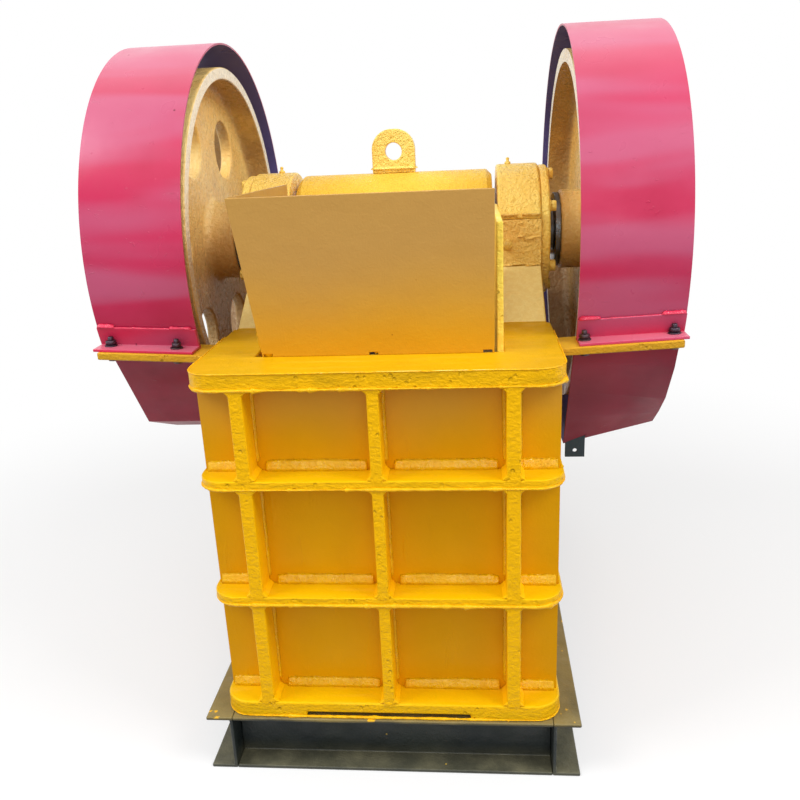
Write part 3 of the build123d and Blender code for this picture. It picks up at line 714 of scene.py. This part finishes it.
def rib_seams():
    """Ground and painted welds across each upright, where it meets a plate's front edge."""
    mesh = bmesh.new()
    steps = 6
    for middle in (-(rib_inner + rib_outer) / 2, 0.0, (rib_inner + rib_outer) / 2):
        half = (rib_outer - rib_inner) / 2 if middle else rib_middle
        for height in row_feet + row_tops:
            rings = []
            for index in range(2 * steps + 1):
                x = middle + (half - 0.4) * (index / steps - 1)
                tall = chance.uniform(5.0, 7.5)
                deep = chance.uniform(1.0, 1.8)
                rings.append([spot(x, -deep * math.cos(math.radians(turn)) + 0.9,
                                   height + tall * math.sin(math.radians(turn)))
                              for turn in range(-90, 91, 30)])
            skin(mesh, rings)
    return piece_of(mesh, "RibSeams", rib_paint, "frame")


def side_welds():
    mesh = bmesh.new()
    for side in (-1, 1):
        face = side * rib_outer
        outward = along_x * side
        for foot, top in zip(row_feet, row_tops):
            for front, back in side_weld_runs:
                weld_bead(mesh, spot(face, front, foot), spot(face, back, foot),
                          outward, along_z, side_fillet, 0.16)
                weld_bead(mesh, spot(face, front, top), spot(face, back, top),
                          outward, -along_z, fillet, 0.16)
            for post in post_fronts:
                for back, way in ((post, -1), (post + post_thick, 1)):
                    weld_bead(mesh, spot(face, back, foot + 12), spot(face, back, top - 12),
                              outward, along_y * way, fillet, 0.16)
    return piece_of(mesh, "SideWelds", yellow_bead, "frame")


def ring_edge(height):
    """A plate's outer edge at a height, from the left side over the front to the right."""
    points = [spot(-plate_reach, 300.0, height)]
    for turns, centre in ((range(180, 271, 15), -plate_reach + plate_corner),
                          (range(270, 361, 15), plate_reach - plate_corner)):
        for turn in turns:
            angle = math.radians(turn)
            points.append(spot(centre + plate_corner * math.cos(angle),
                               plate_corner + plate_corner * math.sin(angle), height))
    points.append(spot(plate_reach, 300.0, height))
    return points


def paint_lips():
    mesh = bmesh.new()
    for top in reversed(row_tops):
        paint_run(mesh, ring_edge(top + 1.5), 0.0026, 0.6)
    paint_run(mesh, ring_edge(2.5), 0.0022, 0.6)
    paint_run(mesh, ring_edge(flange_top - 1), 0.0012, 0.4)
    return piece_of(mesh, "PaintLips", lip_paint, "frame")


def paint_drips():
    """Drops that hang from the foot flange's lower edge: place, length and size of each."""
    mesh = bmesh.new()
    shape = ((0.0, 1.6), (0.15, 1.1), (0.4, 0.7), (0.65, 0.75), (0.85, 1.0), (0.96, 0.7),
             (1.0, 0.2))
    for x, y, length, size in ((6.0, -1.0, 13.0, 3.2), (250.0, -0.5, 8.0, 2.6),
                               (-120.0, -0.5, 6.0, 2.2), (330.0, 12.0, 7.0, 2.4)):
        rings = []
        for share, wide in shape:
            centre = spot(x, y, 3.0 - length * share)
            rings.append([centre + Vector((math.cos(math.radians(turn)) * size * wide,
                                           math.sin(math.radians(turn)) * size * wide * 0.6,
                                           0.0)) / 1000 for turn in range(0, 360, 45)])
        skin(mesh, rings)
    return piece_of(mesh, "PaintDrips", lip_paint, "frame")


# Hopper seams, lug weld and the stitches on the guard angles

def hopper_welds():
    """Seam along the hopper's foot, weld on its corner, tack welds and the side's stitches."""
    mesh = bmesh.new()
    for left, right in ((-214.0, -150.0), (-132.0, -38.0), (8.0, 70.0), (84.0, 194.0)):
        weld_bead(mesh, spot(left, hopper_face, flange_top), spot(right, hopper_face, flange_top),
                  -along_y, along_z, (0.0035, 0.0035), 0.4)
    for way in (-along_x, along_x):
        weld_bead(mesh, spot(-231.5, 120.1, 862.0), spot(-221.0, hopper_face, flange_top),
                  way, -along_y, (0.009, 0.005), 0.6, 0.005, lead=0.7)
    tack_height = flange_top + 2
    for x, size in ((-24.0, 0.004), (-6.0, 0.006), (3.0, 0.005), (14.0, 0.004), (172.0, 0.004)):
        weld_bead(mesh, spot(x, hopper_face, tack_height), spot(x + 9.0, hopper_face, tack_height),
                  -along_y, along_z, (size, size), 0.5, 0.002, 0.3)
    for front, back in ((135.0, 215.0), (245.0, 330.0), (360.0, 455.0)):
        weld_bead(mesh, spot(hopper_side, front, flange_top), spot(hopper_side, back, flange_top),
                  -along_x, along_z, fillet, 0.3)
    return piece_of(mesh, "HopperWelds", yellow_bead, "frame")


def lug_weld():
    mesh = bmesh.new()
    for y, way in ((676.0, -1), (706.0, 1)):
        weld_bead(mesh, spot(-54.0, y, lug_foot), spot(50.0, y, lug_foot),
                  along_y * way, along_z, fillet, 0.2)
    end_foot = 1100.6
    for x, way in ((-55.5, -1), (51.5, 1)):
        weld_bead(mesh, spot(x, 674.0, end_foot), spot(x, 708.0, end_foot),
                  along_x * way, along_z, fillet, 0.2)
    return piece_of(mesh, "LugWeld", housing, "swing_jaw")


# The guard supports, which slope up outwards, and the angles that stand on them

support_inner = plate_reach
support_run = 259.0
support_low = 757.0
support_rise = 13.0
angle_leg = 46.0
angle_sheet = 6.0
guard_radius = 473.0


def support_top(x):
    """Height of the supports' upper face."""
    return support_low + support_rise * (abs(x) - support_inner) / support_run


def angle_edge(x, rear):
    """A point where an angle's upright leg meets the upper guard's sheet."""
    height = support_top(x) + angle_leg
    drop = axis_height - height
    skin_radius = guard_radius + angle_sheet * 0.5
    back = math.sqrt(skin_radius * skin_radius - drop * drop)
    return spot(x, axis_back + back if rear else axis_back - back, height)


def angle_stitches():
    mesh = bmesh.new()
    for rear in (False, True):
        away = along_y if rear else -along_y
        for first, second in ((-618.0, -581.0), (-460.0, -412.0), (405.0, 449.0), (571.0, 618.0)):
            weld_bead(mesh, angle_edge(first, rear), angle_edge(second, rear),
                      away, along_z, (0.006, 0.007), 0.35, 0.003, 0.6)
        for first, second in ((-600.0, -430.0), (430.0, 600.0)):
            paint_run(mesh, [angle_edge(first, rear), angle_edge(second, rear)], 0.0016, 0.3)
    return piece_of(mesh, "AngleStitches", red_bead, "frame")


# Bolts, nuts and grease nipples

def guard_bolts():
    mesh = bmesh.new()
    sizes = {"flats": 0.019, "washer": 0.0135, "washer_height": 0.0025}
    for x, y in ((-593.0, 229.0), (-446.0, 224.0), (417.0, 226.0), (597.0, 229.0)):
        lean = Vector((-support_rise / support_run * (1 if x > 0 else -1), 0, 1))
        for back in (y, axis_back * 2 - y):
            foot = spot(x, back, support_top(x) + angle_sheet)
            hex_head(mesh, foot, lean, height=0.010, turn=x, stud=0.008, **sizes)
            under = spot(x, back, support_top(x) - 16.0)
            hex_head(mesh, under, -lean, height=0.008, turn=x, **sizes)
    return piece_of(mesh, "GuardBolts", bolt_steel, "frame")


def cover_bolts():
    mesh = bmesh.new()
    for side in (-1, 1):
        for turn in (31.0, 98.0, 150.0, 211.0, 272.0, 331.0):
            angle = math.radians(turn)
            foot = spot(side * cover_face, axis_back + cover_bolt_circle * math.cos(angle),
                        axis_height + cover_bolt_circle * math.sin(angle))
            hex_head(mesh, foot, along_x * side, flats=0.024, height=0.012, washer=0.015,
                     washer_height=0.003, turn=turn)
    return piece_of(mesh, "CoverBolts", housing, "frame")


def block_bolts():
    """A large and a small bolt on the front and the rear face of each bearing block."""
    mesh = bmesh.new()
    for side in (-1, 1):
        for y, way in block_faces:
            hex_head(mesh, spot(side * 272.0, y, 925.0), along_y * way, flats=0.021,
                     height=0.013, washer=0.013, washer_height=0.003)
            hex_head(mesh, spot(side * 259.0, y, 934.0), along_y * way, flats=0.015,
                     height=0.008, washer=0.009, washer_height=0.002)
    return piece_of(mesh, "BlockBolts", housing, "frame")


def block_seams():
    """Broken seams across the bearing blocks' faces, and the seam below each cap."""
    mesh = bmesh.new()
    cap_foot = 994.0
    for side in (-1, 1):
        for y, way in block_faces:
            for near, far, height in ((296.0, 316.0, 940.0), (312.0, 336.0, 934.0),
                                      (330.0, 350.0, 938.0), (254.0, 288.0, 872.0),
                                      (280.0, 322.0, 875.0), (314.0, 350.0, 872.0)):
                ends = sorted((side * near, side * far))
                weld_bead(mesh, spot(ends[0], y, height), spot(ends[1], y, height + 3.0),
                          along_y * way, along_z, (0.005, 0.006), 0.6, 0.004, 0.5)
            for near, far in ((252.0, 296.0), (306.0, 350.0)):
                ends = sorted((side * near, side * far))
                weld_bead(mesh, spot(ends[0], y, cap_foot), spot(ends[1], y, cap_foot),
                          along_y * way, -along_z, (0.005, 0.007), 0.1, 0.006, 0.8)
    return piece_of(mesh, "BlockSeams", housing_rough, "frame")


def grease_nipples():
    mesh = bmesh.new()
    profile = [(0.0005, 0.0), (0.0075, 0.0), (0.0075, 0.005), (0.0045, 0.0065), (0.0032, 0.010),
               (0.0042, 0.012), (0.0042, 0.014), (0.0025, 0.016), (0.0005, 0.0165)]
    for x in (-289.0, 280.0):
        turned(mesh, spot(x, axis_back, cap_top), along_z, profile, 20)
    return piece_of(mesh, "GreaseNipples", housing, "frame")


# Cast fillets of both wheels, in the corners of the web with the rim and the hub

def hollow_corner(mesh, place, way, radius, size, inward):
    """A concave fillet about the shaft, where a face square to the shaft meets a round one."""
    sign = -1 if inward else 1
    profile = []
    for turn in range(0, 91, 10):
        angle = math.radians(turn)
        profile.append((radius + sign * (size * (1 - math.sin(angle)) - 0.0002),
                        size * (1 - math.cos(angle)) - 0.0002))
    turned(mesh, place, along_x * way, profile, 120, closed=False)


def wheel_fillets(side, name):
    mesh = bmesh.new()
    inner_face = spot(side * web_inner, axis_back, axis_height)
    outer_face = spot(side * web_outer, axis_back, axis_height)
    for place, way in ((inner_face, -side), (outer_face, side)):
        hollow_corner(mesh, place, way, rim_bore, 0.026, inward=True)
        hollow_corner(mesh, place, way, hub_radius, 0.020, inward=False)
    return piece_of(mesh, name, wheel, "shaft")


wall_welds()
rib_seams()
side_welds()
paint_lips()
paint_drips()
hopper_welds()
lug_weld()
angle_stitches()
guard_bolts()
cover_bolts()
block_bolts()
block_seams()
grease_nipples()
wheel_fillets(-1, "FlywheelFillets")
wheel_fillets(1, "SheaveFillets")


# Camera, from the photograph's own viewing angle

camera_place = (0.18944, -2.106, 1.32182)
camera_right = Vector((0.9957157, 0.0816645, -0.0433732))
camera_up = Vector((0.0153958, 0.3160989, 0.9486013))
camera_back = Vector((0.0911773, -0.9452050, 0.3134873))

camera_data = bpy.data.cameras.new("Camera")
camera_data.sensor_width = 36.0
camera_data.lens = 36.592
camera = bpy.data.objects.new("Camera", camera_data)
bpy.context.scene.collection.objects.link(camera)
turn = Matrix((camera_right, camera_up, camera_back)).transposed().to_4x4()
camera.matrix_world = Matrix.Translation(camera_place) @ turn
bpy.context.scene.camera = camera


# Plain floor, white surroundings and soft lamps

def larger(tree, first, second):
    node = tree.nodes.new("ShaderNodeMath")
    node.operation = "MAXIMUM"
    tree.links.new(first, node.inputs[0])
    tree.links.new(second, node.inputs[1])
    return node.outputs[0]


def seen_directly(tree):
    """1 for a ray from the camera, or one that gloss or glass sends on."""
    path = tree.nodes.new("ShaderNodeLightPath")
    seen = larger(tree, path.outputs["Is Camera Ray"], path.outputs["Is Glossy Ray"])
    return larger(tree, seen, path.outputs["Is Transmission Ray"])


def grey(tree, kind, level, strength=None):
    node = tree.nodes.new(kind)
    node.inputs["Color"].default_value = (level, level, level, 1.0)
    if strength is not None:
        node.inputs["Strength"].default_value = strength
    return node.outputs[0]


def mixed(tree, share, first, second):
    node = tree.nodes.new("ShaderNodeMixShader")
    if isinstance(share, float):
        node.inputs["Fac"].default_value = share
    else:
        tree.links.new(share, node.inputs["Fac"])
    tree.links.new(first, node.inputs[1])
    tree.links.new(second, node.inputs[2])
    return node.outputs[0]


def white_world(strength):
    """White where it is seen, and a soft light of the given strength on the object."""
    world = bpy.data.worlds.new("Surroundings")
    bpy.context.scene.world = world
    world.use_nodes = True
    tree = world.node_tree
    tree.nodes.clear()
    output = tree.nodes.new("ShaderNodeOutputWorld")
    ambient = grey(tree, "ShaderNodeBackground", 1.0, strength)
    shown = grey(tree, "ShaderNodeBackground", 1.0, 1.0)
    tree.links.new(mixed(tree, seen_directly(tree), ambient, shown), output.inputs["Surface"])


def floor_material(near, far):
    """Pale floor that keeps the object's shadow, and turns plain white from near to far."""
    material = bpy.data.materials.new("PaleFloor")
    material.use_nodes = True
    tree = material.node_tree
    tree.nodes.clear()
    output = tree.nodes.new("ShaderNodeOutputMaterial")
    unseen = grey(tree, "ShaderNodeBsdfDiffuse", 0.34)
    shadowed = grey(tree, "ShaderNodeBsdfDiffuse", 0.9)
    white = grey(tree, "ShaderNodeEmission", 1.0, 1.0)
    place = tree.nodes.new("ShaderNodeTexCoord")
    distance = tree.nodes.new("ShaderNodeVectorMath")
    distance.operation = "LENGTH"
    tree.links.new(place.outputs["Object"], distance.inputs[0])
    fade = tree.nodes.new("ShaderNodeMapRange")
    fade.interpolation_type = "SMOOTHSTEP"
    fade.inputs["From Min"].default_value = near
    fade.inputs["From Max"].default_value = far
    tree.links.new(distance.outputs["Value"], fade.inputs["Value"])
    eye = seen_directly(tree)
    beyond = tree.nodes.new("ShaderNodeMath")
    beyond.operation = "MULTIPLY"
    tree.links.new(fade.outputs["Result"], beyond.inputs[0])
    tree.links.new(eye, beyond.inputs[1])
    lit = mixed(tree, eye, unseen, mixed(tree, 0.5, shadowed, white))
    ground = mixed(tree, beyond.outputs[0], lit, white)
    tree.links.new(ground, output.inputs["Surface"])
    return material


def pale_floor():
    mesh = bmesh.new()
    bmesh.ops.create_grid(mesh, x_segments=4, y_segments=4, size=30.0)
    data = bpy.data.meshes.new("Floor")
    mesh.to_mesh(data)
    mesh.free()
    data.materials.append(floor_material(near=1.3, far=2.6))
    floor = bpy.data.objects.new("Floor", data)
    bpy.context.scene.collection.objects.link(floor)


def lamp(name, place, aim, width, power):
    """A square lamp, width in metres and power in watts, that looks from place to aim."""
    data = bpy.data.lights.new(name, "AREA")
    data.shape = "SQUARE"
    data.size = width
    data.energy = power
    piece = bpy.data.objects.new(name, data)
    bpy.context.scene.collection.objects.link(piece)
    piece.location = place
    piece.rotation_euler = (Vector(aim) - Vector(place)).to_track_quat("-Z", "Y").to_euler()


white_world(strength=0.46)
pale_floor()
lamp("Overhead", (0.0, -1.6, 4.4), (0.0, 0.0, 1.0), width=3.0, power=24.0)
lamp("Key", (0.3, -4.4, 2.9), (0.0, 0.0, 0.7), width=3.4, power=52.0)
lamp("LeftSide", (-3.4, -1.8, 4.4), (0.0, 0.0, 1.0), width=2.2, power=135.0)
lamp("RightSide", (3.4, -1.8, 4.4), (0.0, 0.0, 1.0), width=2.2, power=135.0)

bpy.context.scene.view_settings.view_transform = "Standard"
